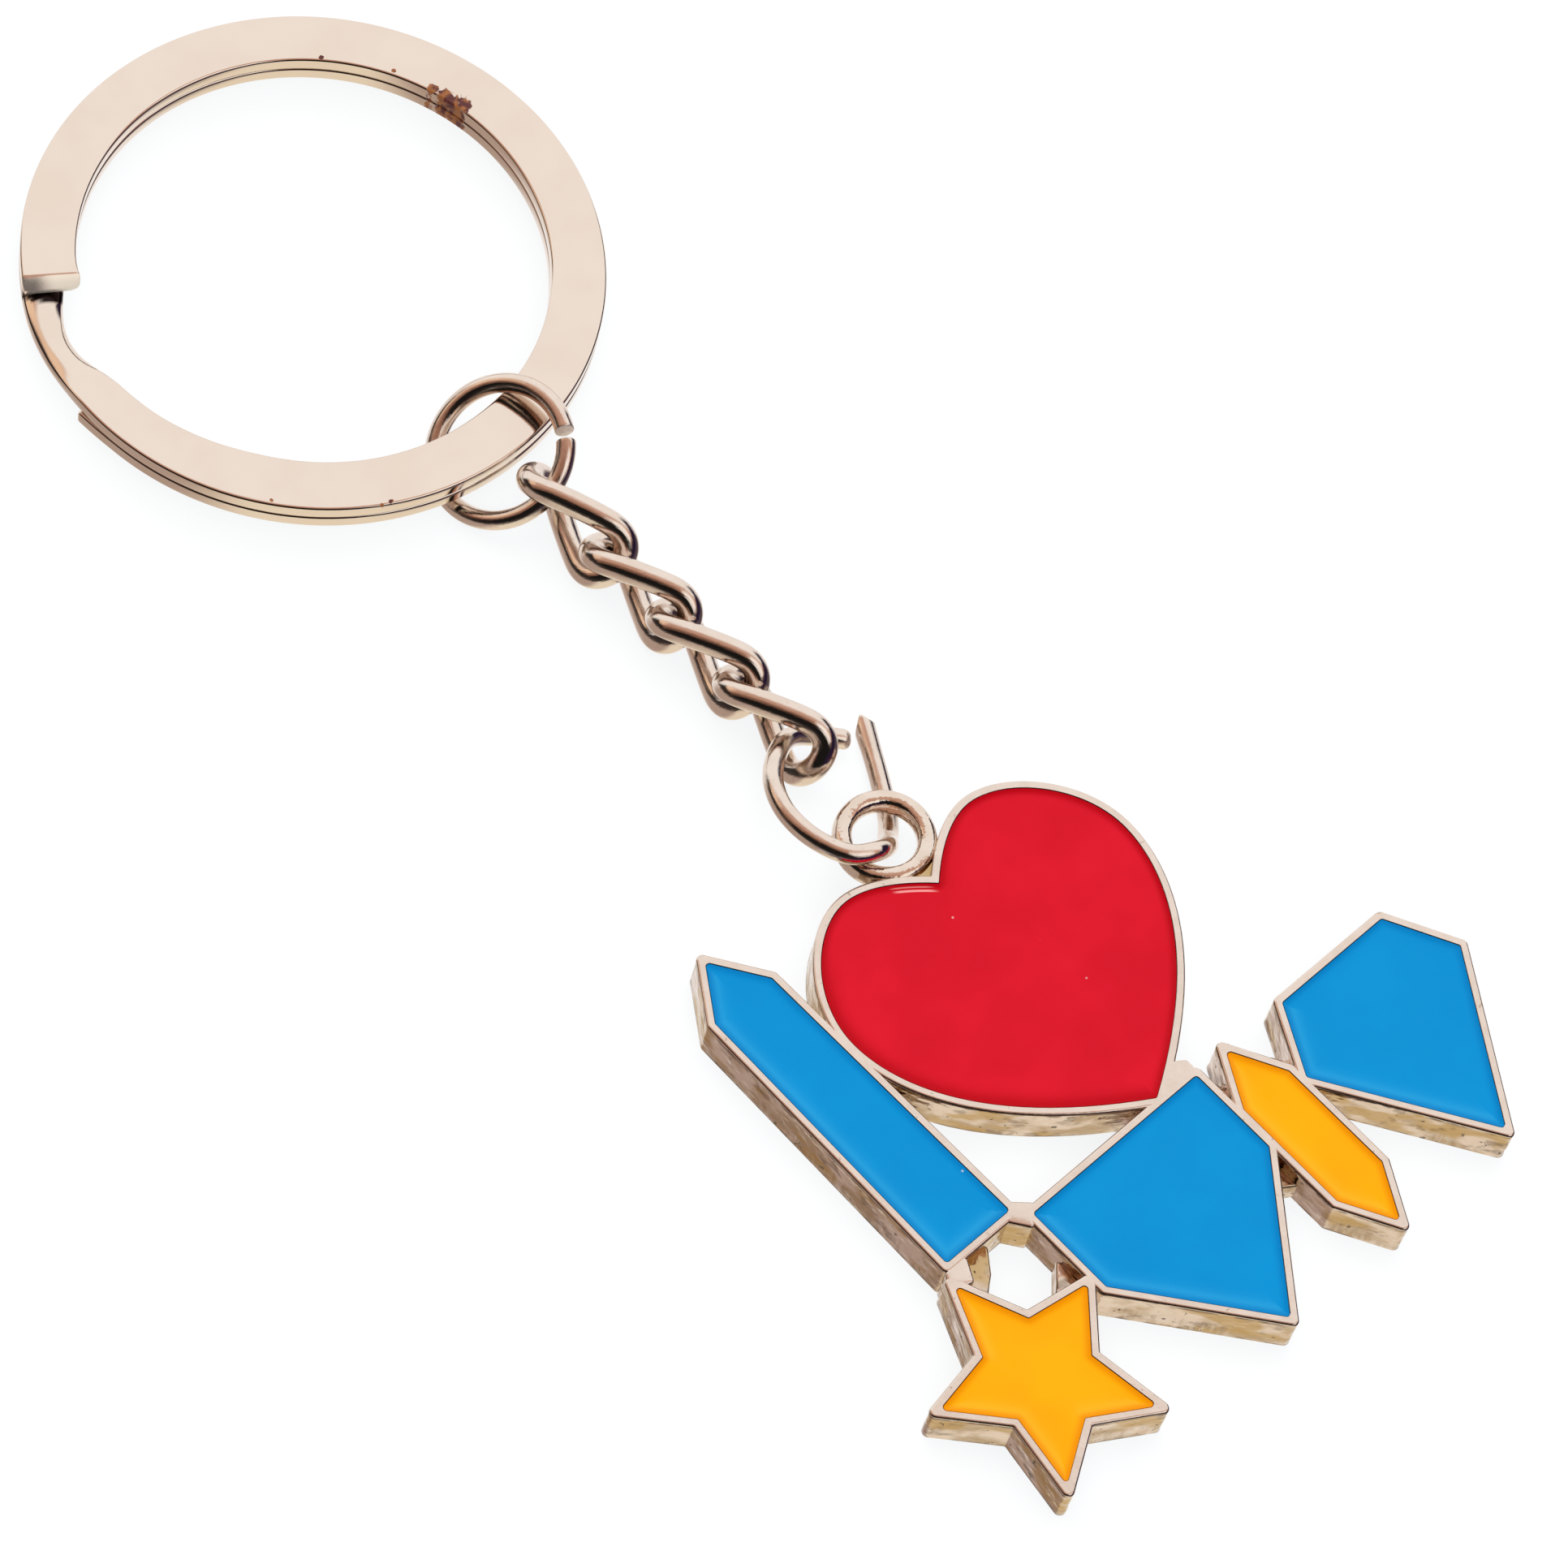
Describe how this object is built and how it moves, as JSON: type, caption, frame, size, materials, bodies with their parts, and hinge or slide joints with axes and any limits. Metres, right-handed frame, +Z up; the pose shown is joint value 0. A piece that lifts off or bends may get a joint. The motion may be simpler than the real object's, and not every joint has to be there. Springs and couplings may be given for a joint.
{
  "type": "keychain",
  "caption": "Flat keychain: split ring, jump ring, short curb chain and a die-cast charm with a heart, an obelisk and gem shapes filled with coloured enamel.",
  "frame": {"origin": "on the table, under the middle of the keychain's bounding box", "axes": "+Y along the keychain from the charm to the split ring, +Z up out of the charm's enamelled front, +X to the right seen from the front"},
  "size_m": [0.0388, 0.0899, 0.0048],
  "materials": {
    "nickel_strip": "polished warm nickel plate on flattened spring steel strip",
    "nickel_wire": "polished warm nickel plate on round steel wire",
    "nickel_casting": "nickel plate on die-cast zinc, polished face, rippled as-cast sides",
    "enamel_blue": "glossy soft enamel, sky blue, slightly sunk",
    "enamel_red": "glossy soft enamel, bright red, slightly sunk",
    "enamel_yellow": "glossy soft enamel, warm yellow, slightly sunk"
  },
  "bodies": {
    "split_ring": {"split_ring": "nickel_strip"},
    "jump_ring": {"jump_ring": "nickel_wire"},
    "link_1": {"chain_link_1": "nickel_wire"},
    "link_2": {"chain_link_2": "nickel_wire"},
    "link_3": {"chain_link_3": "nickel_wire"},
    "link_4": {"chain_link_4": "nickel_wire"},
    "end_ring": {"end_ring": "nickel_wire"},
    "charm": {"charm_body": "nickel_casting", "enamel_obelisk": "enamel_blue", "enamel_heart": "enamel_red", "enamel_star": "enamel_yellow", "enamel_shield": "enamel_blue", "enamel_lozenge": "enamel_yellow", "enamel_gem": "enamel_blue"}
  },
  "joints": [
    {"name": "jump_ring_travel", "type": "hinge", "parent": "split_ring", "child": "jump_ring", "pos_m": [0.00119, 0.02982, 0.00217], "axis": [0, 0, 1], "continuous": true},
    {"name": "link_1_swing", "type": "hinge", "parent": "jump_ring", "child": "link_1", "pos_m": [0.00098, 0.01199, 0.00285], "axis": [-0.8566, -0.0657, -0.5118], "range_deg": [0, 45]},
    {"name": "link_2_swing", "type": "hinge", "parent": "link_1", "child": "link_2", "pos_m": [0.0011, 0.00671, 0.00205], "axis": [-0.5446, 0, -0.8387], "range_deg": [0, 30]},
    {"name": "link_3_swing", "type": "hinge", "parent": "link_2", "child": "link_3", "pos_m": [0.00115, 0.00266, 0.00215], "axis": [0, 0, 1], "range_deg": [-20, 20]},
    {"name": "link_4_swing", "type": "hinge", "parent": "link_3", "child": "link_4", "pos_m": [0.00115, -0.00284, 0.00215], "axis": [-0.6428, 0, -0.766], "range_deg": [0, 30]},
    {"name": "end_ring_swing", "type": "hinge", "parent": "link_4", "child": "end_ring", "pos_m": [0.00115, -0.00574, 0.00209], "axis": [-0.862, 0.0217, 0.5064], "range_deg": [0, 40]},
    {"name": "charm_swivel", "type": "hinge", "parent": "end_ring", "child": "charm", "pos_m": [0.00085, -0.01284, 0.0018], "axis": [0, 0, 1], "range_deg": [-30, 40]}
  ]
}
